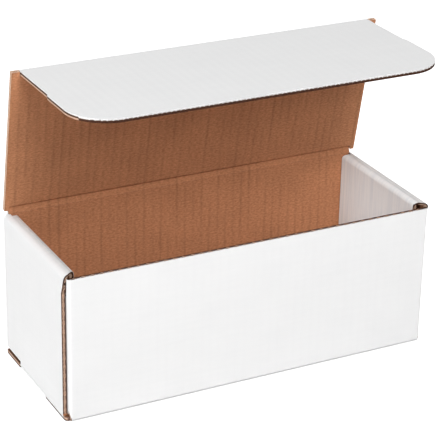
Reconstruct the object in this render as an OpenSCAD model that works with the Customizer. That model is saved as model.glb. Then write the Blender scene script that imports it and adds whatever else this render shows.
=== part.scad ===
/* [Box] */
// Outside length of the box, from side wall to side wall
box_length = 274; // [180:1:360]
// Outside depth of the box, from front wall to back wall
box_depth = 108; // [95:1:180]
// Height of the rolled-over side walls above the floor
box_height = 106.5; // [85:0.5:160]
// How far the front wall's cut top edge stays below the side walls
front_drop = 3; // [2:0.1:6]
// How far the front wall's ends stay inside the side walls' outer faces
front_inset = 2; // [0.5:0.1:2]

/* [Board] */
// Thickness of the corrugated board
board = 3; // [2.4:0.1:3.6]
// Radius on the outside of a fold
fold_r = 2.4; // [1.4:0.1:2.4]
// Air between two boards that lie against each other
ply_gap = 0.3; // [0.2:0.05:0.5]

/* [Flutes] */
// Distance from one flute of the board's core to the next
flute_pitch = 6.45; // [6.1:0.05:6.9]
// Thickness of the two papers on the outside of the board
liner = 0.4; // [0.3:0.05:0.5]
// Thickness of the fluted paper, measured along the row of flutes
flute_paper = 0.55; // [0.4:0.05:0.6]
// Half width of a flute where it touches the far paper
flute_crest = 0.7; // [0.5:0.05:0.8]
// How deep the open flute ends go into a cut edge
flute_depth = 1.5; // [1:0.5:4]

/* [Side walls] */
// How far the outer side wall ends behind the front face
front_recess = 7.5; // [7.5:0.5:12]
// How far the outer side wall ends before the back face
back_recess = 0.8; // [0.5:0.1:2]
// How far the rolled-over edge reaches forward past the wall below it
roll_reach = 4.2; // [3:0.1:4.2]
// How far below the roll the wall starts to widen towards its front end
roll_flare = 12; // [10:1:20]
// Radius on the outside of the rolled-over edge's two folds
roll_r = 4; // [2.4:0.1:4]
// Thickness of the board where the rolled-over edge crushes it
roll_board = 1.8; // [1.4:0.1:2]
// Radius on the rolled-over edge's rear corner
roll_corner_r = 4; // [1:0.5:6]
// How far the inner side wall ends behind the front face
inner_recess = 8.5; // [8.5:0.5:14]
// Length of the fold that joins a side wall to the bottom
side_fold = 44; // [30:1:60]
// How far that fold is moved towards the back from the middle
side_fold_shift = 6.5; // [0:0.5:10]
// Height of the open slot behind that fold
rear_slot = 5.3; // [4:0.1:8]
// Height of the wall's free edge above the floor in front of that fold
front_slot = 1.1; // [0.5:0.1:1.5]

/* [Locking tabs] */
// Length of a locking tab on the inner side wall
tab_length = 20; // [12:1:22]
// Free play of a tab in its slot
tab_play = 0.3; // [0.2:0.05:0.6]
// How far a tab's end stays above the floor
tab_lift = 0.4; // [0.2:0.1:1]
// How far the front tab stands in front of the side wall's fold
tab_ahead = 3; // [1:0.5:4]
// How far the rear tab stands behind the side wall's fold
tab_behind = 1; // [0.5:0.5:2]

/* [Corner flaps] */
// How far the corner flaps' top edge stays below the side walls
flap_drop = 18; // [12:1:40]
// Length of a corner flap from the front or back face
flap_length = 46; // [30:1:46]
// Length over which a front flap leads in behind the side wall
flap_lead = 5; // [4:0.1:6]
// Radius on the front corner of the bottom's side edge
ear_r = 2.5; // [1:0.1:3]

/* [Lid] */
// Length of the lid from its crease to the tuck flap's crease
lid_length = 107.6; // [90:0.1:180]
// How far the lid stands open from closed, in degrees
lid_open = 78.9; // [40:0.1:120]
// Air under the closed lid
lid_play = 0.1; // [0.1:0.05:0.5]
// Air between two boards at a hinged crease
crease_gap = 0.3; // [0.2:0.05:0.5]

/* [Tuck flap] */
// Length of the tuck flap from its crease
tuck_length = 105.8; // [70:0.1:150]
// How far the flap's neck stays inside the lid's side edge
tuck_neck = 6.1; // [5.5:0.1:12]
// How far the flap's wide part stays inside the lid's side edge
tuck_wide = 4.9; // [4.9:0.1:10]
// Distance from the crease to the step between neck and wide part
tuck_step = 48; // [20:1:60]
// Length of that step
tuck_step_run = 3; // [1:0.5:6]
// Radius on the flap's two free corners
tuck_corner_r = 28; // [10:1:40]
// How far the flap is folded from the lid's plane, in degrees
tuck_fold = 78.7; // [0:0.1:90]

/* [Hidden] */
$fn = 96;
// overlap of a cutting shape past the face that it cuts
cut = 1;

half_length = box_length / 2;
half_depth = box_depth / 2;
front_half = half_length - front_inset;
front_height = box_height - front_drop;
flap_top = box_height - flap_drop;
// distances of the three boards of a side wall from the middle of the box
outer_in = half_length - board;
flap_out = outer_in - ply_gap;
flap_in = flap_out - board;
inner_out = flap_in - ply_gap;
inner_in = inner_out - board;
// the ends of the fold between a side wall and the bottom
fold_front = side_fold_shift - side_fold / 2;
fold_back = side_fold_shift + side_fold / 2;
// the ends of the side walls
wall_front = -half_depth + front_recess;
wall_back = half_depth - back_recess;
inner_front = -half_depth + inner_recess;
inner_back = half_depth - board - ply_gap;
roll_front = wall_front - roll_reach;
// heights where the outer board starts to reach forward, and under the strip on top
under_reach = box_height - board;
under_roll = box_height - roll_board;
// crease lines of the lid and of the tuck flap, with the lid closed
crease_y = half_depth;
crease_z = box_height + lid_play + board;
tuck_y = crease_y - lid_length;
neck_half = half_length - tuck_neck;
wide_half = half_length - tuck_wide;
// half width of a flute on the paper that it opens towards
flute_base = flute_pitch / 2 - flute_paper - flute_crest;
// a crease's two mitred edges are cut back by half of the air between them
mitre_back = crease_gap / 2 * sqrt(2);

// a board standing along the box's depth: outline in y and z, between two x
module board_across(outline, x_low, x_high)
    translate([x_low, 0, 0]) rotate([90, 0, 90])
        linear_extrude(x_high - x_low) polygon(outline);

// a board standing along the box's length: outline in x and z, between two y
module board_along(outline, y_low, y_high)
    translate([0, y_high, 0]) rotate([90, 0, 0])
        linear_extrude(y_high - y_low) polygon(outline);

// what a rounded fold takes off a sharp corner whose faces point to -x and -y,
// standing on the origin for a given length along z
module fold_round(length, r = fold_r)
    translate([0, 0, -cut]) difference() {
        translate([-cut, -cut, 0]) cube([r + cut, r + cut, length + cut]);
        translate([r, r, -cut]) cylinder(r = r, h = length + 3 * cut);
    }

// the same, along x with the corner's faces pointing to -y and -z
module fold_round_x(length, r = fold_r)
    rotate([90, 0, 90]) fold_round(length, r);

// the same, along y with the corner's faces pointing to +x and -z
module fold_round_y(length, r = fold_r)
    rotate([90, 0, 0]) mirror([1, 0, 0]) translate([0, 0, -length]) fold_round(length, r);

module both_sides() {
    children();
    mirror([1, 0, 0]) children();
}

// one open flute end: cut down from z = 0 into a board that lies from y = 0 to its
// thickness, and reaching above it
module flute_end(deep = flute_depth, above = cut)
    translate([0, 0, -deep]) linear_extrude(deep + above) polygon([
        [-flute_base, liner], [flute_base, liner],
        [flute_crest, board - 2 * liner], [-flute_crest, board - 2 * liner],
    ]);

// the next flute end of a row opens towards the board's other paper
module flute_pair(above = cut) {
    flute_end(above = above);
    translate([flute_pitch / 2, board, 0]) mirror([0, 1, 0]) flute_end(above = above);
}

// a row of open flute ends along x, centred on the origin, in a given length
module flute_row(length, above = cut) {
    pairs = floor(length / flute_pitch);
    for (i = [0 : pairs - 1])
        translate([(i - pairs / 2 + 1 / 4) * flute_pitch, 0, 0]) flute_pair(above);
}

// the same row along z, in a board from x = 0 to -x, cut towards +y
module flute_column(length, above = cut)
    rotate([0, -90, 90]) flute_row(length, above);

module bottom() {
    side_front = -half_depth + board - ply_gap;
    difference() {
        union() {
            translate([-flap_out, -half_depth, 0]) cube([2 * flap_out, box_depth, board]);
            // the side edge: open in front, then the stretch that carries the side
            // wall, and open again behind it
            both_sides() translate([flap_out - board, side_front, 0])
                cube([half_length - flap_out + board, wall_back - side_front, board]);
        }
        both_sides() {
            lock_slots();
            translate([half_length, side_front, 0]) mirror([1, 0, 0])
                fold_round(board + cut, ear_r);
            translate([half_length, fold_front - cut, 0]) fold_round_y(side_fold + cut);
        }
        translate([-half_length, -half_depth, 0]) fold_round_x(box_length);
        translate([half_length, half_depth, 0]) rotate([0, 0, 180]) fold_round_x(box_length);
    }
}

// middle of the two tabs and slots on one side
function tab_middles() = [
    fold_front - tab_ahead - tab_length / 2, fold_back + tab_behind + tab_length / 2,
];

module lock_slots()
    for (y = tab_middles())
        translate([inner_in - tab_play, y - tab_length / 2 - tab_play, -cut])
            cube([board + 2 * tab_play, tab_length + 2 * tab_play, board + 2 * cut]);

module front_wall() {
    lower = board / 2;
    difference() {
        board_along([
            [-flap_out, 0], [flap_out, 0], [flap_out, lower], [front_half, lower + 2 * board],
            [front_half, front_height], [-front_half, front_height],
            [-front_half, lower + 2 * board], [-flap_out, lower],
        ], -half_depth, -half_depth + board);
        translate([-half_length, -half_depth, 0]) fold_round_x(box_length);
        both_sides() translate([-front_half, -half_depth, 0]) fold_round(front_height + cut);
        translate([0, -half_depth, front_height]) flute_row(2 * flap_out);
    }
}

// a front corner flap: it turns in from the front wall's end and then lies
// between the outer and the inner side wall
module front_flap() {
    run = (front_half - flap_out) / flap_lead;
    slope = atan(run);
    lead_front = wall_front - ply_gap - flap_lead;
    lead_back = wall_front - ply_gap;
    inner_x = front_half - board * cos(slope);
    inner_y = lead_front - board * sin(slope);
    front_in = -half_depth + board;
    root_y = front_in - ply_gap;
    foot = board + 2 * ply_gap;
    difference() {
        translate([0, 0, foot]) linear_extrude(front_height - foot) polygon([
            [front_half - run * (root_y - lead_front), root_y], [flap_out, lead_back],
            [flap_out, -half_depth + flap_length], [flap_in, -half_depth + flap_length],
            [flap_in, inner_y + (inner_x - flap_in) / run],
            [inner_x - run * (root_y - inner_y), root_y],
        ]);
        // the top edge drops behind the front wall, clear of the rolled-over edge
        board_across([
            [front_in, front_height + cut], [front_in, front_height], [lead_back, flap_top],
            [half_depth, flap_top], [half_depth, front_height + cut],
        ], 0, half_length + cut);
        // the lower end is cut clear of the bottom's front corner
        board_along([
            [flap_out, 0], [flap_out, board / 2], [front_half, board / 2 + 2 * board],
            [half_length, board / 2 + 2 * board], [half_length, 0],
        ], -half_depth, 0);
    }
}

module back_wall()
    difference() {
        board_across([
            [half_depth - board, 0], [half_depth, 0], [half_depth, crease_z - mitre_back],
            [half_depth - board, crease_z - board - mitre_back],
        ], -flap_out, flap_out);
        translate([half_length, half_depth, 0]) rotate([0, 0, 180]) fold_round_x(box_length);
        both_sides() translate([-flap_out, half_depth, 0]) mirror([0, 1, 0]) fold_round(flap_top);
    }

module back_flap()
    translate([flap_in, half_depth - flap_length, board + 2 * ply_gap])
        difference() {
            cube([board, flap_length, flap_top - board - 2 * ply_gap]);
            translate([board, flap_length, -cut]) rotate([0, 0, 180]) fold_round(flap_top + cut);
        }

module outer_side() {
    free_edge = under_reach - front_slot;
    rear_edge = under_reach - rear_slot;
    difference() {
        board_across([
            [wall_front, front_slot], [fold_front, front_slot], [fold_front, 0], [fold_back, 0],
            [fold_back, rear_slot], [wall_back, rear_slot], [wall_back, box_height],
            [roll_front, box_height], [roll_front, under_reach],
            [wall_front, under_reach - roll_flare],
        ], outer_in, half_length);
        translate([half_length, fold_front - cut, 0]) fold_round_y(side_fold + 2 * cut);
        translate([half_length, wall_front, front_slot + free_edge / 2])
            flute_column(free_edge, roll_reach + cut);
        translate([outer_in, wall_back, rear_slot + rear_edge / 2])
            rotate([0, 0, 180]) flute_column(rear_edge);
    }
}

// the strip on top of a side wall, with its front end cut at a slant
module roll()
    translate([0, 0, under_roll]) linear_extrude(roll_board) polygon([
        [half_length, roll_front], [outer_in, roll_front], [inner_in, inner_front],
        [inner_in, inner_back], [half_length, inner_back],
    ]);

module inner_side() {
    edge = under_reach - board - ply_gap;
    difference() {
        board_across([
            [inner_front, board + ply_gap], [inner_back, board + ply_gap],
            [inner_back, box_height], [inner_front, box_height],
        ], inner_in, inner_out);
        translate([inner_out, inner_front, board + ply_gap + edge / 2]) flute_column(edge);
    }
    for (y = tab_middles())
        translate([inner_in, y - tab_length / 2, tab_lift])
            cube([board, tab_length, 2 * board]);
}

// a side wall goes up outside, over the top and down inside
module side_wall()
    difference() {
        union() {
            outer_side();
            roll();
            inner_side();
        }
        translate([half_length, -half_depth, box_height]) mirror([0, 0, 1])
            fold_round_y(box_depth, roll_r);
        translate([inner_in, -half_depth, box_height]) mirror([0, 0, 1]) mirror([1, 0, 0])
            fold_round_y(box_depth, roll_r);
        translate([inner_in, inner_back, box_height]) rotate([180, 0, 0])
            fold_round_x(outer_in - inner_in - cut, roll_corner_r);
    }

module tray()
    color("whitesmoke") {
        bottom();
        front_wall();
        back_wall();
        both_sides() {
            front_flap();
            back_flap();
            side_wall();
        }
    }

// places what is drawn with the lid closed at the angle where the lid stands
module opened()
    translate([0, crease_y, crease_z]) rotate([-lid_open, 0, 0])
        translate([0, -crease_y, -crease_z]) children();

module folded()
    translate([0, tuck_y, crease_z]) rotate([tuck_fold, 0, 0])
        translate([0, -tuck_y, -crease_z]) children();

module lid()
    color("whitesmoke") opened() {
        inside = crease_z - board;
        board_across([
            [tuck_y + mitre_back, crease_z], [tuck_y + board + mitre_back, inside],
            [crease_y - board - mitre_back, inside], [crease_y - mitre_back, crease_z],
        ], -half_length, half_length);
        // the ends past the tuck flap's neck and past the back wall are cut square
        both_sides() {
            difference() {
                translate([neck_half + ply_gap, tuck_y, inside])
                    cube([half_length - neck_half - ply_gap, 2 * board, board]);
                translate([(neck_half + ply_gap + half_length) / 2, tuck_y, inside])
                    rotate([90, 0, 0]) flute_end();
            }
            translate([flap_out + ply_gap, crease_y - 2 * board, inside])
                cube([half_length - flap_out - ply_gap, 2 * board, board]);
        }
    }

// how far the tuck flap's free edge has drawn back at a distance from its middle
function corner_back(x) = let(past = max(0, abs(x) - wide_half + tuck_corner_r))
    tuck_corner_r - sqrt(tuck_corner_r * tuck_corner_r - past * past);

// open flute ends along the tuck flap's free edge and round its corners
module tuck_flutes() {
    side = floor((wide_half - tuck_corner_r / 4) / flute_pitch);
    for (i = [-2 * side : 2 * side])
        translate([i * flute_pitch / 2, corner_back(i * flute_pitch / 2), 0])
            if (i % 2 == 0) rotate([90, 0, 0]) flute_end(above = tuck_corner_r);
            else translate([0, 0, board]) mirror([0, 0, 1]) rotate([90, 0, 0])
                flute_end(above = tuck_corner_r);
}

module tuck_flap()
    color("whitesmoke") opened() folded() {
        inside = crease_z - board;
        free_y = tuck_y - tuck_length;
        step_y = tuck_y - tuck_step;
        difference() {
            translate([0, 0, inside]) linear_extrude(board) difference() {
                polygon([
                    [-neck_half, tuck_y], [-neck_half, step_y],
                    [-wide_half, step_y - tuck_step_run], [-wide_half, free_y],
                    [wide_half, free_y], [wide_half, step_y - tuck_step_run],
                    [neck_half, step_y], [neck_half, tuck_y],
                ]);
                both_sides() difference() {
                    translate([wide_half - tuck_corner_r, free_y - cut])
                        square([tuck_corner_r + cut, tuck_corner_r + cut]);
                    translate([wide_half - tuck_corner_r, free_y + tuck_corner_r])
                        circle(r = tuck_corner_r);
                }
            }
            translate([0, free_y, inside]) tuck_flutes();
            // mitre along the crease
            board_across([
                [tuck_y - mitre_back, crease_z + cut], [tuck_y - mitre_back, crease_z],
                [tuck_y - mitre_back - board - cut, inside - cut], [tuck_y + cut, inside - cut],
                [tuck_y + cut, crease_z + cut],
            ], -half_length, half_length);
        }
    }

tray();
lid();
tuck_flap();
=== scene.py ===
# %% [markdown]
# # A corrugated mailer box
#
# The box is one sheet of fluted board, white on the outside and plain kraft brown on the
# inside, cut and folded so that it holds together with no glue. This lesson takes the
# engineer's model of it as a fixed frame and gives it paper: which face of the board is
# white, which is kraft, what a cut edge shows, and how the paper bends where it is creased.
# The scene is in metres, and the box stands on z = 0 with its front towards -y.

from math import copysign, cos, hypot, radians, sin, tau

import bmesh
import bpy
from mathutils import Matrix, Vector


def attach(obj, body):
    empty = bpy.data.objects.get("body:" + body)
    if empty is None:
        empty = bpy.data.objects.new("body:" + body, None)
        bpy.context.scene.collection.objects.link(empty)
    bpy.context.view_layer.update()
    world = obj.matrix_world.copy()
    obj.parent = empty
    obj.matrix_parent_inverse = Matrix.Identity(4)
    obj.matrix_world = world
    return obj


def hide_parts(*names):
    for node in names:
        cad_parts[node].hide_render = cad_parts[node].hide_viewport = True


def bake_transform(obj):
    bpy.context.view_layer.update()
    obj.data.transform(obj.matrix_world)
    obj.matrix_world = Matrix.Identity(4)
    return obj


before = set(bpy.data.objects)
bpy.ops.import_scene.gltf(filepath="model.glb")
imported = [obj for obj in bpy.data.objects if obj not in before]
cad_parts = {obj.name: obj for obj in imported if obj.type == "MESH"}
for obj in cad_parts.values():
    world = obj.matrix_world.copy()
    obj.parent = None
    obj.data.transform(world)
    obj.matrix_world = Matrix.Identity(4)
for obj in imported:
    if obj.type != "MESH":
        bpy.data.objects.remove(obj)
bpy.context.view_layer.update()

# %% [markdown]
# ## Sizes
#
# The model's source names these sizes, and the scene repeats the few that it needs to tell
# one layer of board from the next. They are in millimetres, as a box maker writes them.
# Heights are above the table, and the end walls' layers are given by how far they stand
# from the middle of the box. A front corner flap runs in behind its end wall over a short
# slanted stretch, the lead, and the front wall's end is cut back above the bottom's
# rounded front corner, the ear.

# %% The board and the walls
MM = 0.001
BOARD, LINER, PLY_GAP = 3.0, 0.4, 0.3
FOLD_R, ROLL_R = 2.4, 4.0
PITCH, FLUTE_DEPTH = 6.45, 1.5
HALF_LENGTH, HALF_DEPTH = 137.0, 54.0
WALL_TOP, FRONT_TOP, FLAP_TOP = 106.5, 103.5, 88.5
FRONT_IN, BACK_IN = BOARD - HALF_DEPTH, HALF_DEPTH - BOARD
FRONT_HALF = 135.0
print("front wall", 2 * FRONT_HALF, "mm long and", FRONT_TOP, "mm high")

# %% The layers of an end wall
WALL_IN = HALF_LENGTH - BOARD
FLAP_OUT = WALL_IN - PLY_GAP
FLAP_IN = FLAP_OUT - BOARD
INNER_OUT = FLAP_IN - PLY_GAP
INNER_IN = INNER_OUT - BOARD
WALL_FRONT, WALL_BACK = -46.5, 53.2
INNER_FRONT, INNER_BACK = -45.5, 50.7
ROLL_FRONT, ROLL_FROM = -50.7, 92.0
ROLL_MIDDLE = (HALF_LENGTH + INNER_IN) / 2
EAR_TOP, LEAD = 8.0, 5.0
LEAD_BACK = WALL_FRONT - PLY_GAP
LEAD_FRONT = LEAD_BACK - LEAD
SIDE_FOLD, FRONT_SLOT, REAR_SLOT = (-15.5, 28.5), 1.1, 5.3
TABS = ((-38.5, -18.5), (29.5, 49.5))
print("an end wall is", round(HALF_LENGTH - INNER_IN, 1), "mm thick, all layers together")

# %% [markdown]
# The two creases that move are written for the closed box: where the lid turns on the back
# wall, and where the tuck flap turns on the lid. In the flat sheet, distances are measured
# from the middle of the bottom, so they add up panel by panel.

# %% The creases and the flat sheet
CREASE_Y, CREASE_Z = 54.0, 109.6
LID_LENGTH, LID_OPEN, TUCK_FOLD = 107.6, 78.9, 78.7
TUCK_Y = CREASE_Y - LID_LENGTH
TUCK_LENGTH, TUCK_HALF, CORNER_R = 105.8, 132.1, 28.0
OVER_TOP = HALF_LENGTH + WALL_TOP
SHEET_HALF = 358.6
print("the sheet is", 2 * SHEET_HALF, "mm wide")

# %% [markdown]
# The frame's faces lie where these sizes say, but only to within rounding, and a rounded
# fold is a row of flats. So a face or point is tested with a little room. A point on the
# border of two layers is also moved a little before it is tested: from the face into its
# board, and from a corner of the face towards the face's middle.

# %% Room for rounding
NEAR = 0.1
ON_FACE, ON_ROUND = 0.03, 0.06
STEP_IN, PULL = 0.05, 0.001
print("a face may lie", ON_FACE, "mm off its board's plane")

# %% [markdown]
# ## The camera
#
# The photograph was fitted by its straight edges: the box is seen 28 degrees from the left
# and 24 degrees from above, from about 1.3 m away, and the camera is rolled by a degree.
# A camera's own axes are right, up and backwards, so those three vectors and its place
# make its matrix.

# %% Camera
AZIMUTH, ELEVATION, ROLL = radians(-27.69), radians(24.36), radians(1.28)
DISTANCE, SLIDE_RIGHT, SLIDE_UP, MID_HEIGHT = 1.28276, 0.00045, 0.04096, 0.05297
FOCAL, SENSOR = 150.75, 36

back = Vector((
    sin(AZIMUTH) * cos(ELEVATION), -cos(AZIMUTH) * cos(ELEVATION), sin(ELEVATION),
))
level = (-back).cross(Vector((0, 0, 1))).normalized()
upward = level.cross(-back)
target = Vector((0, 0, MID_HEIGHT)) + level * SLIDE_RIGHT + upward * SLIDE_UP
right = level * cos(ROLL) + upward * sin(ROLL)
up = upward * cos(ROLL) - level * sin(ROLL)

lens = bpy.data.cameras.new("photo_camera")
lens.sensor_width = SENSOR
lens.lens = FOCAL
camera = bpy.data.objects.new("photo_camera", lens)
bpy.context.scene.collection.objects.link(camera)
placed = Matrix((right, up, back)).transposed().to_4x4()
placed.translation = target + back * DISTANCE
camera.matrix_world = placed
bpy.context.scene.camera = camera
print("camera at", [round(v, 3) for v in placed.translation])

# %% [markdown]
# ## Helpers for shader trees
#
# Nodes are the same thing in code as in the editor: a node is added, its settings are
# set, and each input gets a value or a link. One short helper does all three, so that a
# finish below reads as a list of steps.

# %% Shader helpers
def add(tree, kind, inputs=(), **settings):
    made = tree.nodes.new("ShaderNode" + kind)
    for name, value in settings.items():
        setattr(made, name, value)
    for name, value in dict(inputs).items():
        if isinstance(value, bpy.types.NodeSocket):
            tree.links.new(value, made.inputs[name])
        else:
            made.inputs[name].default_value = value
    return made


def calc(tree, operation, *values):
    return add(tree, "Math", enumerate(values), operation=operation).outputs[0]


def mix(tree, amount, low, high, blend="MIX"):
    made = add(tree, "Mix", {0: amount, 6: low, 7: high}, data_type="RGBA", blend_type=blend)
    return made.outputs[2]


def group(name, inputs, outputs):
    tree = bpy.data.node_groups.new(name, "ShaderNodeTree")
    for label, kind, value in inputs:
        socket = tree.interface.new_socket(label, in_out="INPUT", socket_type="NodeSocket" + kind)
        if value is not None:
            socket.default_value = value
    for label, kind in outputs:
        tree.interface.new_socket(label, in_out="OUTPUT", socket_type="NodeSocket" + kind)
    start = tree.nodes.new("NodeGroupInput")
    end = tree.nodes.new("NodeGroupOutput")
    return tree, start.outputs, end.inputs


def use(tree, made, inputs):
    placed = tree.nodes.new("ShaderNodeGroup")
    placed.node_tree = made
    for name, value in inputs.items():
        if isinstance(value, bpy.types.NodeSocket):
            tree.links.new(value, placed.inputs[name])
        else:
            placed.inputs[name].default_value = value
    return placed.outputs


# %% [markdown]
# ## The flutes seen through the paper
#
# The face papers are glued to the tips of the flutes, so they sink a little between them. That
# washboard is what makes faint lines at the flutes' pitch. The lines follow the board's own sheet
# and not the room, so every panel carries a map of the flat sheet, called "blank", in metres: its
# first number runs across the flutes and its second along them. A cosine of the first number is
# the washboard, and slow noise keeps the lines from being all alike. The group gives the
# washboard twice: as a height for the bump, and as narrow dark lines that the papers paint into
# their colour, a painted shade of the washboard.

# %% Group: flute lines
flute_lines, given, out = group(
    "flute_lines",
    [("Blank", "Vector", None), ("Pitch", "Float", PITCH * MM)],
    [("Line", "Float"), ("Height", "Float")],
)
tree = flute_lines
parts = add(tree, "SeparateXYZ", {"Vector": given["Blank"]})
drift = add(tree, "TexNoise", {
    "Vector": add(tree, "Mapping", {"Vector": given["Blank"], "Scale": (1, 0.25, 1)}).outputs[0],
    "Scale": 45, "Detail": 1,
})
across = calc(tree, "DIVIDE", parts.outputs["X"], given["Pitch"])
across = calc(tree, "ADD", across, calc(tree, "MULTIPLY", drift.outputs["Fac"], 0.35))
wave = calc(tree, "COSINE", calc(tree, "MULTIPLY", across, tau))
half = calc(tree, "MULTIPLY_ADD", wave, 0.5, 0.5)
narrow = calc(tree, "POWER", half, 4.0)
strength = add(tree, "TexNoise", {
    "Vector": add(tree, "Mapping", {"Vector": given["Blank"], "Scale": (1, 0.12, 1)}).outputs[0],
    "Scale": 130, "Detail": 2,
})
gain = add(tree, "MapRange", {
    "Value": strength.outputs["Fac"], "From Min": 0.35, "From Max": 0.7,
})
# the Line output is painted shade: the papers darken their colour along it, on top of the bump
# that the Height gives
tree.links.new(calc(tree, "MULTIPLY", narrow, gain.outputs[0]), out["Line"])
tree.links.new(half, out["Height"])
print("group", tree.name, len(tree.nodes), "nodes")

# %% [markdown]
# ## Paper fibres
#
# Paper is felted fibre. From arm's length it shows as a fine mottle, drawn out a little
# in the direction the paper ran through its machine, which on corrugated board is across
# the flutes. Two noises of different grain, stretched that way, give it. A third, much
# coarser one is the cloudiness of a big sheet.

# %% Group: paper fibres
fibres, given, out = group(
    "paper_fibres",
    [("Blank", "Vector", None), ("Stretch", "Float", 0.4)],
    [("Mottle", "Float"), ("Streak", "Float"), ("Cloud", "Float")],
)
tree = fibres
stretch = add(tree, "CombineXYZ", {"X": given["Stretch"], "Y": 1.0, "Z": 1.0})
along = add(tree, "VectorMath", {0: given["Blank"], 1: stretch.outputs[0]}, operation="MULTIPLY")
mottle = add(tree, "TexNoise", {
    "Vector": along.outputs[0], "Scale": 900, "Detail": 3, "Roughness": 0.65,
})
drawn = add(tree, "Mapping", {"Vector": given["Blank"], "Scale": (0.05, 1, 1)})
streak = add(tree, "TexNoise", {"Vector": drawn.outputs[0], "Scale": 420, "Detail": 3})
cloud = add(tree, "TexNoise", {"Vector": given["Blank"], "Scale": 38, "Detail": 3})
for made, name in ((mottle, "Mottle"), (streak, "Streak"), (cloud, "Cloud")):
    tree.links.new(made.outputs["Fac"], out[name])
print("group", tree.name, len(tree.nodes), "nodes")

# %% [markdown]
# ## The three papers
#
# Kraft is brown all through, with darker and lighter fibres, and flute lines painted in as shade
# of the washboard. The outside is bleached and smooth, so its lines are hardly there. A cut edge
# is neither: it shows the section of the board. The knife comes from the white side and drags the
# white paper inwards over the hollows, and the half of the edge next to it is painted dark, a
# painted shade of those hollows. The brown paper on the other side stands clear as a pale line in
# the kraft's own colour, and a last darker band at the kraft face is painted shade as well.
#
# Where the white paper is turned in, past the top of an end wall, it gets streaks across the
# flutes instead of lines along them, which are its fibres. It also gets a cooler, slightly
# brighter white, which is painted light: it stands in for the light inside the box and offsets
# the warm light the kraft throws there. The kraft of the bottom's side edges lies in the open
# slots under the end walls and is painted darker there, a painted shade of the slots. Both are
# found on the map of the flat sheet. All three papers also multiply their colour by one more than
# an attribute that the pieces carry, which is painted shade: it is below zero in the box's
# hollows.

# %% Helpers for the papers
def paper(name, roughness):
    made = bpy.data.materials.new(name)
    made.use_nodes = True
    shader = made.node_tree.nodes["Principled BSDF"]
    shader.inputs["Roughness"].default_value = roughness
    shader.inputs["Specular IOR Level"].default_value = 0.25
    blank = add(made.node_tree, "UVMap", uv_map="blank").outputs["UV"]
    return made, made.node_tree, shader, blank


def colour_in(tree, shader, colour):
    # the pieces' shade attribute is painted shade: it darkens the colour where it is below zero
    # and is zero elsewhere
    fibre_tone_and_painted_shade = add(tree, "Attribute", attribute_name="fibre_tone_and_painted_shade").outputs["Fac"]
    factor = calc(tree, "ADD", fibre_tone_and_painted_shade, 1.0)
    shade = add(tree, "CombineColor", {0: factor, 1: factor, 2: factor}).outputs[0]
    tree.links.new(mix(tree, 1.0, colour, shade, "MULTIPLY"), shader.inputs["Base Color"])


def relief(tree, shader, height, distance):
    bump = add(tree, "Bump", {"Height": height, "Distance": distance})
    tree.links.new(bump.outputs["Normal"], shader.inputs["Normal"])


print("the papers read the map", repr("blank"), "and the attribute", repr("fibre_tone_and_painted_shade"))

# %% Kraft paper
SLOT_EDGE, SLOT_SHADE, CLEAR_OF_FOLD = 0.6, -0.6, 0.5

kraft, tree, shader, blank = paper("kraft_paper", 0.86)
lines = use(tree, flute_lines, {"Blank": blank})
grain = use(tree, fibres, {"Blank": blank, "Stretch": 0.5})
fibre_tone_and_painted_shade = add(tree, "MapRange", {
    "Value": grain["Mottle"], "From Min": 0.3, "From Max": 0.7,
}).outputs[0]
colour = mix(tree, fibre_tone_and_painted_shade, (0.400, 0.168, 0.079, 1), (0.632, 0.288, 0.144, 1))
clouds = add(tree, "MapRange", {
    "Value": grain["Cloud"], "From Min": 0.3, "From Max": 0.7, "To Min": 0.93, "To Max": 1.06,
}).outputs[0]
# painted shade of the flute washboard along the Line, times the sheet's own cloudiness
shade = calc(tree, "MULTIPLY_ADD", lines["Line"], -0.2, clouds)
place = add(tree, "SeparateXYZ", {"Vector": blank}).outputs
across, along = (calc(tree, "ABSOLUTE", place[name]) for name in "XY")
# painted shade of the open slots: the kraft of the bottom's side edge under an end wall is
# darkened by SLOT_SHADE
edge = add(tree, "MapRange", {
    "Value": across, "From Min": FLAP_OUT * MM, "From Max": (FLAP_OUT + SLOT_EDGE) * MM,
}).outputs[0]
on_bottom = calc(
    tree, "MULTIPLY",
    calc(tree, "LESS_THAN", across, (HALF_LENGTH + NEAR) * MM),
    calc(tree, "LESS_THAN", along, (HALF_DEPTH - CLEAR_OF_FOLD) * MM),
)
in_slot = calc(tree, "MULTIPLY", edge, on_bottom)
shade = calc(tree, "MULTIPLY", shade, calc(tree, "MULTIPLY_ADD", in_slot, SLOT_SHADE, 1.0))
shaded = add(tree, "CombineColor", {0: shade, 1: shade, 2: shade}).outputs[0]
colour_in(tree, shader, mix(tree, 1.0, colour, shaded, "MULTIPLY"))
height = calc(tree, "MULTIPLY_ADD", grain["Mottle"], 0.3, lines["Height"])
relief(tree, shader, height, 0.06 * MM)
print(kraft.name, len(tree.nodes), "nodes")

# %% White paper
TURN_FROM, TURN_TO = OVER_TOP + 1, OVER_TOP + 9

white, tree, shader, blank = paper("white_paper", 0.62)
lines = use(tree, flute_lines, {"Blank": blank})
grain = use(tree, fibres, {"Blank": blank, "Stretch": 0.3})
half_cloud = calc(tree, "MULTIPLY", grain["Cloud"], 0.5)
fibre_tone_and_painted_shade = calc(tree, "MULTIPLY_ADD", grain["Streak"], 0.5, half_cloud)
fibre_tone_and_painted_shade = add(tree, "MapRange", {"Value": fibre_tone_and_painted_shade, "From Min": 0.35, "From Max": 0.65}).outputs[0]
colour = mix(tree, fibre_tone_and_painted_shade, (0.868, 0.869, 0.871, 1), (0.888, 0.888, 0.888, 1))
across = add(tree, "SeparateXYZ", {"Vector": blank}).outputs["X"]
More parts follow.
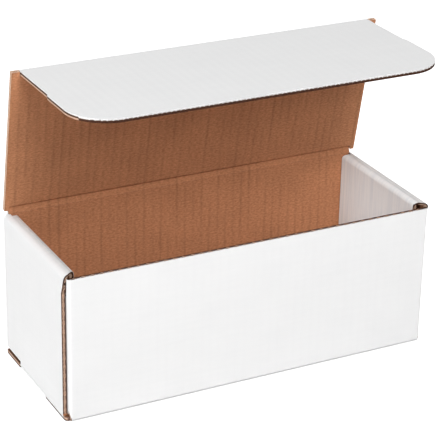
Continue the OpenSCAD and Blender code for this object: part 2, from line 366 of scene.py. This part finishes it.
# the turned-in white: its streaks are the paper's fibres, and its cooler, brighter colour is
# painted light for the inside of the box
turned_in = add(tree, "MapRange", {
    "Value": calc(tree, "ABSOLUTE", across),
    "From Min": TURN_FROM * MM, "From Max": TURN_TO * MM,
}).outputs[0]
streak = add(tree, "MapRange", {"Value": grain["Streak"], "From Min": 0.38, "From Max": 0.62})
cooler = mix(tree, streak.outputs[0], (0.83, 0.90, 0.935, 1), (0.92, 0.975, 0.99, 1))
colour = mix(tree, turned_in, colour, cooler)
# painted shade of the flute washboard, fainter on the turned-in white
faint = calc(tree, "MULTIPLY", lines["Line"], calc(tree, "MULTIPLY_ADD", turned_in, -0.2, 0.25))
colour_in(tree, shader, mix(tree, faint, colour, (0.845, 0.845, 0.85, 1)))
height = calc(tree, "MULTIPLY_ADD", grain["Streak"], 0.25, lines["Height"])
relief(tree, shader, height, 0.022 * MM)
print(white.name, len(tree.nodes), "nodes")

# %% Cut edge
cut_edge, tree, shader, blank = paper("cut_edge", 0.9)
shader.inputs["Specular IOR Level"].default_value = 0.05
depth = add(tree, "Attribute", attribute_name="depth").outputs["Fac"]
ramp = add(tree, "ValToRGB", {"Fac": depth})
# from the white face to the kraft face: the white paper, a dark band that is painted shade of the
# hollows under it, the kraft section's own pale brown, and a darker band at the kraft face,
# painted shade too
STOPS = (
    (0.0, (0.86, 0.86, 0.86)), (0.04, (0.62, 0.56, 0.52)), (0.09, (0.075, 0.032, 0.020)),
    (0.30, (0.085, 0.038, 0.024)), (0.38, (0.60, 0.40, 0.29)), (0.76, (0.68, 0.47, 0.35)),
    (0.84, (0.20, 0.12, 0.10)), (1.0, (0.22, 0.13, 0.10)),
)
elements = ramp.color_ramp.elements
elements.remove(elements[0])
elements[0].position = STOPS[0][0]
elements[0].color = (*STOPS[0][1], 1)
for place, colour in STOPS[1:]:
    elements.new(place).color = (*colour, 1)
grain = use(tree, fibres, {"Blank": blank, "Stretch": 1.0})
fibre_tone_and_painted_shade = add(tree, "MapRange", {
    "Value": grain["Mottle"], "From Min": 0.25, "From Max": 0.75, "To Min": 0.8, "To Max": 1.15,
}).outputs[0]
shaded = add(tree, "CombineColor", {0: fibre_tone_and_painted_shade, 1: fibre_tone_and_painted_shade, 2: fibre_tone_and_painted_shade}).outputs[0]
colour_in(tree, shader, mix(tree, 1.0, ramp.outputs["Color"], shaded, "MULTIPLY"))
relief(tree, shader, grain["Mottle"], 0.15 * MM)
print(cut_edge.name, len(tree.nodes), "nodes")

# %% [markdown]
# ## Which paper a face wears
#
# The folded board turns its white side out over the walls, then in over the top and down
# the inside of the end walls, and its kraft side on the bottom, the long walls and the lid.
# So a face's paper can't be told from where it points in the room. It is told from the
# panel it belongs to: each panel knows which way is "from white to kraft". A face that
# looks against that way and lies on the panel's white side is white, one that looks
# along it and lies on the far side is kraft, and the rest are cut.
#
# The same panels give the flat map. The end walls continue the bottom past its sides, and
# the front wall, back wall, lid and tuck flap continue it past its front and back.

# %% Panels of the tray
def in_roll(ax, z):
    """How deep a point lies under the rolled-over edge's white outline."""
    near, below = min(HALF_LENGTH - ax, ax - INNER_IN), WALL_TOP - z
    if near < ROLL_R and below < ROLL_R:
        return ROLL_R - hypot(ROLL_R - near, ROLL_R - below)
    return min(near, below)


def roll_panel(side, ax, y, z):
    """The same as tray_panel below gives, for a point of the rolled-over edge."""
    if WALL_TOP - z < min(HALF_LENGTH - ax, ax - INNER_IN):
        return side * (OVER_TOP + HALF_LENGTH - ax), y, in_roll(ax, z), Vector((0, 0, -1))
    if ax > ROLL_MIDDLE and (ax > WALL_IN - NEAR or z > FRONT_TOP - NEAR):
        return side * (HALF_LENGTH + z), y, in_roll(ax, z), Vector((-side, 0, 0))
    if ax < INNER_OUT + NEAR:
        return side * (SHEET_HALF - z), y, in_roll(ax, z), Vector((side, 0, 0))
    return None


def end_wall_panel(side, ax, y, z):
    """The same, for a point of the end wall's boards below the rolled-over edge."""
    above_floor = z > BOARD + PLY_GAP
    open_below = FRONT_SLOT if y < SIDE_FOLD[0] else REAR_SLOT if y > SIDE_FOLD[1] else 0
    if ax > WALL_IN and y > WALL_FRONT - NEAR and z > open_below:
        return side * (HALF_LENGTH + z), y, HALF_LENGTH - ax, Vector((-side, 0, 0))
    on_inner = INNER_IN < ax < INNER_OUT and INNER_FRONT < y < INNER_BACK
    if on_inner and (above_floor or any(low < y < high for low, high in TABS)):
        return side * (SHEET_HALF - z), y, ax - INNER_IN, Vector((side, 0, 0))
    if FLAP_IN < ax < FLAP_OUT and above_floor and LEAD_BACK < y < BACK_IN:
        u, v = side * (HALF_LENGTH + HALF_DEPTH - abs(y)), copysign(HALF_DEPTH + z, y)
        return u, v, FLAP_OUT - ax, Vector((-side, 0, 0))
    if ax > FLAP_IN - 1 and FRONT_IN < y < LEAD_BACK and above_floor:
        slant = Vector((-side * LEAD, FLAP_OUT - FRONT_HALF, 0)).normalized()
        gone = (FRONT_HALF - ax) * abs(slant.x) + (LEAD_FRONT - y) * abs(slant.y)
        return side * (HALF_LENGTH + HALF_DEPTH + y), -HALF_DEPTH - z, gone, slant
    return None


def tray_panel(p):
    """The point in the flat sheet, its depth below the white face and the way to the kraft."""
    x, y, z = p
    side, ax = copysign(1, x), abs(x)
    back_end = WALL_BACK + NEAR if ax > WALL_IN - NEAR else INNER_BACK
    found = None
    if z > ROLL_FROM and ax > INNER_IN - NEAR and ROLL_FRONT - NEAR < y < back_end:
        found = roll_panel(side, ax, y, z)
    found = found or end_wall_panel(side, ax, y, z)
    if found:
        return found
    if y < FRONT_IN:
        return x, -HALF_DEPTH - z, HALF_DEPTH + y, Vector((0, 1, 0))
    if y > BACK_IN and ax <= WALL_IN:
        return x, HALF_DEPTH + z, HALF_DEPTH - y, Vector((0, -1, 0))
    return x, y, z, Vector((0, 0, 1))


print("a point of the back wall:", [round(v, 1) for v in tray_panel((50, 53, 60))[:3]])

# %% Folds of the tray
def on_tray_fold(p):
    """Whether a face's middle lies on one of the rounded folds, which are all white."""
    x, y, z = abs(p.x), p.y, p.z
    in_floor, in_front, in_back = z < BOARD, y < FRONT_IN, y > BACK_IN
    at_side = x > WALL_IN and SIDE_FOLD[0] < y < SIDE_FOLD[1]
    rounds = [
        (y + HALF_DEPTH, z, in_front and in_floor, FOLD_R),
        (HALF_DEPTH - y, z, in_back and in_floor, FOLD_R),
        (HALF_LENGTH - x, z, at_side and in_floor, FOLD_R),
        (HALF_LENGTH - x, WALL_TOP - z, x > ROLL_MIDDLE and y < WALL_BACK - NEAR, ROLL_R),
        (x - INNER_IN, WALL_TOP - z, x < ROLL_MIDDLE, ROLL_R),
        (INNER_BACK - y, WALL_TOP - z, INNER_IN + NEAR < x < WALL_IN + NEAR, ROLL_R),
        (FRONT_HALF - x, y + HALF_DEPTH, in_front and not in_floor, FOLD_R),
        (FLAP_OUT - x, HALF_DEPTH - y, FLAP_IN < x < FLAP_OUT and z < FLAP_TOP + 1, FOLD_R),
    ]
    at_end = x > FRONT_HALF - ON_FACE and z > EAR_TOP
    return (at_end and LEAD_FRONT + NEAR < y < FRONT_IN) or any(
        near and a < r and b < r and abs(hypot(a - r, b - r) - r) < ON_ROUND
        for a, b, near, r in rounds
    )


on_front_fold = on_tray_fold(Vector((FRONT_HALF, FRONT_IN - 0.5, WALL_TOP / 2)))
print("the turned end of the front wall is a fold:", on_front_fold)

# %% Panels of the lid and the tuck flap
def turn(y, z, degrees):
    place = Vector((0, y, z))
    return (
        Matrix.Translation(place) @ Matrix.Rotation(radians(degrees), 4, "X")
        @ Matrix.Translation(-place)
    )


LID_REST = turn(CREASE_Y, CREASE_Z, -LID_OPEN)
TUCK_REST = LID_REST @ turn(TUCK_Y, CREASE_Z, TUCK_FOLD)


def hinged_panel(rest):
    back_to_flat = rest.inverted()
    towards_kraft = rest.to_3x3() @ Vector((0, 0, -1))

    def panel(p):
        flat = back_to_flat @ Vector(p)
        run = CREASE_Y - flat.y
        return flat.x, HALF_DEPTH + CREASE_Z + run, CREASE_Z - flat.z, towards_kraft

    return panel


print("lid leans", round(90 - LID_OPEN, 1), "degrees forward of upright")

# %% [markdown]
# ## Paper on the frame's boards
#
# The frame's solids are right in shape but come as loose triangles with one finish. A copy
# of each is merged, every face gets its paper and its place in the flat sheet, and the
# rounded folds are shaded smooth up to their sharp neighbours. The copy then stands in for
# the frame's node.
#
# Two things need more than a paper. A knife crushes the flutes where it cuts across them, so
# their open ends are shallower than the flutes are high, and the white paper is dragged over a
# part of the edge. How far differs from edge to edge. So does how much of the cut edge's painted
# dark band shows, which is chosen by the edge and the way it faces: a painted shade. An attribute
# called "depth" carries both to the cut edge's colours.

# %% The crushed edges
PAPERS = [white, kraft, cut_edge]
WHITE, KRAFT, CUT = range(len(PAPERS))
SQUEEZE = 0.4
WHOLE_EDGE, FRONT_TOP_EDGE, LID_EDGE = (0, 1), (0.25, 0.36), (-1, 0.38)
TUCK_SIDE, TUCK_FREE = (0.18, 0.72), (0.33, 0.45)
UPWARD, SIDEWAYS = 0.7, 0.88


def crush_and_painted_shade(node, middle, normal):
    """How far the white paper is dragged over a cut edge, and how much of the rest shows, which
    sets how much painted shade the edge gets.
    """
    if node == "tray":
        on_front_top = middle.y < FRONT_IN and normal.z > UPWARD
        return FRONT_TOP_EDGE if on_front_top else WHOLE_EDGE
    if node == "lid":
        return LID_EDGE
    return TUCK_SIDE if abs(normal.x) > SIDEWAYS else TUCK_FREE


def squeezed(value, edge):
    return edge + (value - edge) * SQUEEZE


def crush_tray(point):
    """Where a point of the tray's open flute ends goes; other points stay."""
    x, y, z = point
    half, reach = LINER / 2, FLUTE_DEPTH + NEAR
    in_front = abs(x) < FRONT_HALF - NEAR and -HALF_DEPTH + half < y < FRONT_IN - half
    if in_front and FRONT_TOP - reach < z < FRONT_TOP:
        return Vector((x, y, squeezed(z, FRONT_TOP)))
    if WALL_IN + half < abs(x) < HALF_LENGTH - half and z > BOARD:
        for edge, inward in ((WALL_FRONT, 1), (WALL_BACK, -1)):
            if 0 < (y - edge) * inward < reach:
                return Vector((x, squeezed(y, edge), z))
    return point


def crush_tuck(point):
    """The same for the tuck flap's free edge, with its two round corners."""
    flat = TUCK_REST.inverted() @ point
    if not NEAR < CREASE_Z - flat.z < BOARD - NEAR:
        return point
    past = max(0, abs(point.x) - (TUCK_HALF - CORNER_R))
    corner = TUCK_Y - TUCK_LENGTH + CORNER_R
    flat.y = squeezed(flat.y, corner - max(0, CORNER_R**2 - past**2) ** 0.5)
    return TUCK_REST @ flat


print("a flute end is", FLUTE_DEPTH * SQUEEZE, "mm deep after the cut")

# %% [markdown]
# The other is painted shade. Hardly any light gets into the rolled-over edge, so what shows of
# the hollow between its layers is painted darker, and so is the white lead next to the end wall,
# in the gap behind the wall's edge.

# %% Painted shade in the hollows
HOLLOW_KRAFT, HOLLOW_CUT, BY_WALL = -0.6, -0.35, -0.5
LEAD_MIDDLE, LEAD_SHADE, LEAD_FROM = -49.0, 2.0, 130.0
HOLLOW_FROM = 100.0


def painted_shade_at(node, paper_index, middle, p):
    """How much painted shade darkens a place below its paper's colour; zero where there is none.
    """
    x, y, z = abs(p.x), p.y, p.z
    if node != "tray" or z < BOARD:
        return 0
    # painted shade inside the rolled-over edge's hollow, on its kraft and its cut edges
    if INNER_IN + 0.5 < abs(middle.x) < HALF_LENGTH - 0.5 and middle.y < INNER_BACK - NEAR:
        if paper_index == KRAFT and middle.z > FLAP_TOP + NEAR:
            return HOLLOW_KRAFT
        if paper_index == CUT and middle.z > HOLLOW_FROM:
            return HOLLOW_CUT
    # painted shade on the white lead, ramping in towards the end wall's edge
    on_lead = LEAD_FROM < x < FRONT_HALF + NEAR and FRONT_IN < y < WALL_FRONT + NEAR
    if paper_index == WHITE and on_lead:
        return BY_WALL * min(1, max(0, (y - LEAD_MIDDLE) / LEAD_SHADE))
    return 0


print("the hollow's kraft keeps", round(1 + HOLLOW_KRAFT, 1), "of its light")

# %% Copy a node
def board_copy(node):
    """A merged copy of the frame's node, with its flute ends crushed."""
    bm = bmesh.new()
    bm.from_mesh(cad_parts[node].data)
    bmesh.ops.remove_doubles(bm, verts=bm.verts, dist=2e-6)
    if node == "tray":
        for place, way in (((0, 0, FRONT_SLOT), (0, 0, 1)), ((0, LEAD_MIDDLE, 0), (0, 1, 0))):
            bmesh.ops.bisect_plane(
                bm, geom=[*bm.verts, *bm.edges, *bm.faces], dist=1e-7,
                plane_co=Vector(place) * MM, plane_no=way,
            )
    crush = {"tray": crush_tray, "tuck_flap": crush_tuck}.get(node)
    for vert in bm.verts if crush else ():
        vert.co = crush(vert.co / MM) * MM
    bm.normal_update()
    return bm


print("frame's nodes to dress:", sorted(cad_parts))

# %% Dress a node
SHARP = radians(20)


def paper_of(face, middle, panel, on_fold):
    below, inward = panel(middle - face.normal * STEP_IN)[2:]
    facing = face.normal.dot(inward)
    below += facing * STEP_IN
    if on_fold(middle) or (facing < -0.5 and below < ON_FACE):
        return WHITE
    if facing > 0.5 and below > BOARD - ON_FACE:
        return KRAFT
    return CUT


def dress(node, panel, on_fold=lambda p: False):
    bm = board_copy(node)
    flat = bm.loops.layers.uv.new("blank")
    deep = bm.loops.layers.float.new("depth")
    fibre_tone_and_painted_shade = bm.loops.layers.float.new("fibre_tone_and_painted_shade")
    counts = [0] * len(PAPERS)
    for face in bm.faces:
        middle = face.calc_center_median() / MM
        face.material_index = paper_of(face, middle, panel, on_fold)
        face.smooth = True
        counts[face.material_index] += 1
        dragged, share = crush_and_painted_shade(node, middle, face.normal)
        for loop in face.loops:
            point = loop.vert.co / MM
            u, v, below = panel(point.lerp(middle, PULL) - face.normal * STEP_IN)[:3]
            loop[flat].uv = (u * MM, v * MM)
            loop[deep] = (below / BOARD - dragged) * share
            loop[fibre_tone_and_painted_shade] = painted_shade_at(node, face.material_index, middle, point)
    for edge in bm.edges:
        edge.smooth = edge.is_manifold and edge.calc_face_angle(0) < SHARP
    mesh = bpy.data.meshes.new(node + "_board")
    bm.to_mesh(mesh)
    bm.free()
    for material in PAPERS:
        mesh.materials.append(material)
    board = bpy.data.objects.new(node + "_board", mesh)
    bpy.context.scene.collection.objects.link(board)
    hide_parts(node)
    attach(board, node)
    print(board.name, "faces: white", counts[WHITE], "kraft", counts[KRAFT], "cut", counts[CUT])


dress("tray", tray_panel, on_tray_fold)
dress("lid", hinged_panel(LID_REST))
dress("tuck_flap", hinged_panel(TUCK_REST))

# %% [markdown]
# ## The creases
#
# At the two creases that move, the frame has bare hinges with a thin gap. The real board is one
# sheet there: its white paper bends round the outside, and its kraft paper, which the maker
# pressed in with a scoring wheel, dips on the inside. Each is a narrow strip. A strip starts as a
# few points of its profile at the left end and is extruded along the crease.

# %% Crease strips
def crease_strip(name, profile, half_width, material, first_run):
    bm = bmesh.new()
    points = [bm.verts.new((-half_width * MM, y * MM, z * MM)) for y, z in profile]
    spine = [bm.edges.new(pair) for pair in zip(points, points[1:])]
    pulled = bmesh.ops.extrude_edge_only(bm, edges=spine)
    moved = [g for g in pulled["geom"] if isinstance(g, bmesh.types.BMVert)]
    bmesh.ops.translate(bm, verts=moved, vec=(2 * half_width * MM, 0, 0))
    bm.normal_update()
    flat = bm.loops.layers.uv.new("blank")
    runs = [first_run]
    for (y0, z0), (y1, z1) in zip(profile, profile[1:]):
        runs.append(runs[-1] + hypot(y1 - y0, z1 - z0))
    for face in bm.faces:
        face.smooth = True
        for loop in face.loops:
            y, z = loop.vert.co.y / MM, loop.vert.co.z / MM
            nearest = min(range(len(profile)),
                          key=lambda i: hypot(profile[i][0] - y, profile[i][1] - z))
            loop[flat].uv = (loop.vert.co.x, runs[nearest] * MM)
    mesh = bpy.data.meshes.new(name)
    bm.to_mesh(mesh)
    bm.free()
    mesh.materials.append(material)
    strip = bpy.data.objects.new(name, mesh)
    bpy.context.scene.collection.objects.link(strip)
    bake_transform(strip)
    print(strip.name, len(mesh.polygons), "faces", [round(r - first_run, 2) for r in runs])


def at_rest(matrix, y, z):
    moved = matrix @ Vector((0, y, z))
    return moved.y, moved.z


print("the tuck crease stands at", [round(v, 1) for v in at_rest(LID_REST, TUCK_Y, CREASE_Z)])

# %% The four strips
TUCK_STRIP_HALF, SINK, LAP, MITRE, BEND = 129.8, 0.03, 0.5, 0.21, 0.4
KRAFT_DIP = [
    (51.0, 106.2), (51.25, 107.4), (51.8, 108.8), (52.5, 110.0), (52.65, 110.5), (51.9, 111.15),
]
inside, outside = CREASE_Z - BOARD, CREASE_Z - SINK
sheet_crease = HALF_DEPTH + CREASE_Z
crease_strip(
    "lid_crease_inside",
    [*KRAFT_DIP, at_rest(LID_REST, CREASE_Y - BOARD - MITRE, inside)],
    FLAP_OUT, kraft, HALF_DEPTH + KRAFT_DIP[0][1],
)
crease_strip(
    "lid_crease_outside",
    [(HALF_DEPTH - SINK, CREASE_Z - BEND), (HALF_DEPTH - SINK, CREASE_Z),
     at_rest(LID_REST, CREASE_Y - BEND, outside)],
    FLAP_OUT, white, sheet_crease - BEND,
)
crease_strip(
    "tuck_crease_inside",
    [at_rest(LID_REST, TUCK_Y + BOARD + LAP, inside + SINK),
     at_rest(TUCK_REST, TUCK_Y - BOARD - LAP, inside + SINK)],
    TUCK_STRIP_HALF, kraft, sheet_crease + LID_LENGTH - 4,
)
crease_strip(
    "tuck_crease_outside",
    [at_rest(LID_REST, TUCK_Y + LAP, outside),
     at_rest(LID_REST, TUCK_Y, outside),
     at_rest(TUCK_REST, TUCK_Y - LAP, outside)],
    TUCK_STRIP_HALF, white, sheet_crease + LID_LENGTH - LAP,
)

# %% [markdown]
# ## Floor and light
#
# The photograph is a cut-out on white, lit softly from several sides. A large lamp high in
# front lights the front wall and leaves the lid dark under the tuck flap, a low one in
# front reaches the lid, one on the left reaches the left end and, over it, the inside of
# the right end, and one behind lights the top. A dim, even sky fills the rest. The floor
# adds some white for the camera alone, which lifts it to the photograph's white while
# the box still leaves its soft shadow on it. Seen from below, or from a surface that rests
# on it, the floor is clear, so that the underside has light and can be looked at.

# %% Floor
LIFT, TOUCHING, UNDER_BOX = 0.7, 0.003, 0.0002


def stage_plane(name, size):
    bm = bmesh.new()
    bmesh.ops.create_grid(bm, x_segments=1, y_segments=1, size=size)
    bmesh.ops.translate(bm, verts=bm.verts, vec=(0, 0, -UNDER_BOX))
    mesh = bpy.data.meshes.new(name)
    bm.to_mesh(mesh)
    bm.free()
    plane = bpy.data.objects.new(name, mesh)
    bpy.context.scene.collection.objects.link(plane)
    return plane


floor_paint = bpy.data.materials.new("floor_paint")
floor_paint.use_nodes = True
tree = floor_paint.node_tree
shader = tree.nodes["Principled BSDF"]
shader.inputs["Base Color"].default_value = (0.86, 0.86, 0.86, 1)
shader.inputs["Roughness"].default_value = 0.9
shader.inputs["Specular IOR Level"].default_value = 0.1
seen = add(tree, "LightPath").outputs["Is Camera Ray"]
glow = calc(tree, "MULTIPLY", seen, LIFT)
lift = add(tree, "Emission", {"Color": (1, 1, 1, 1), "Strength": glow})
both = add(tree, "AddShader", {0: shader.outputs[0], 1: lift.outputs[0]})
clear = add(tree, "BsdfTransparent")
from_below = add(tree, "NewGeometry").outputs["Backfacing"]
ray = add(tree, "LightPath").outputs["Ray Length"]
gone = calc(tree, "MAXIMUM", from_below, calc(tree, "LESS_THAN", ray, TOUCHING))
shown = add(tree, "MixShader", {0: gone, 1: both.outputs[0], 2: clear.outputs[0]})
tree.links.new(shown.outputs[0], tree.nodes["Material Output"].inputs["Surface"])
floor = stage_plane("floor", 6)
floor.data.materials.append(floor_paint)
print("floor", floor.dimensions[:])

# %% Light
SKY, AIM = 0.13, Vector((0, 0, 0.1))
world = bpy.data.worlds.new("studio")
bpy.context.scene.world = world
world.use_nodes = True
tree = world.node_tree
sky = tree.nodes["Background"]
sky.inputs["Color"].default_value = (1, 1, 1, 1)
seen = add(tree, "LightPath").outputs["Is Camera Ray"]
tree.links.new(calc(tree, "MULTIPLY_ADD", seen, 1 - SKY, SKY), sky.inputs["Strength"])


def soft_lamp(name, place, size, power):
    lamp = bpy.data.lights.new(name, "AREA")
    lamp.shape = "SQUARE"
    lamp.size = size
    lamp.energy = power
    stand = bpy.data.objects.new(name, lamp)
    bpy.context.scene.collection.objects.link(stand)
    stand.location = place
    stand.rotation_euler = (AIM - Vector(place)).to_track_quat("-Z", "Y").to_euler()
    print(name, power, "W")


for name, place, size, power in (
    ("high_front_lamp", (-0.14, -1.97, 1.64), 1.0, 40.5),
    ("low_front_lamp", (-0.85, -2.12, 0.84), 0.8, 3),
    ("left_lamp", (-2.28, -0.16, 0.84), 0.8, 27),
    ("back_lamp", (0.1, 1.25, 2.2), 1.2, 18.5),
):
    soft_lamp(name, place, size, power)

bpy.context.scene.view_settings.view_transform = "Standard"

# %% [markdown]
# ## The end
#
# The dressed box has to fill the same room as the frame.

# %% Finish
print("scene built")
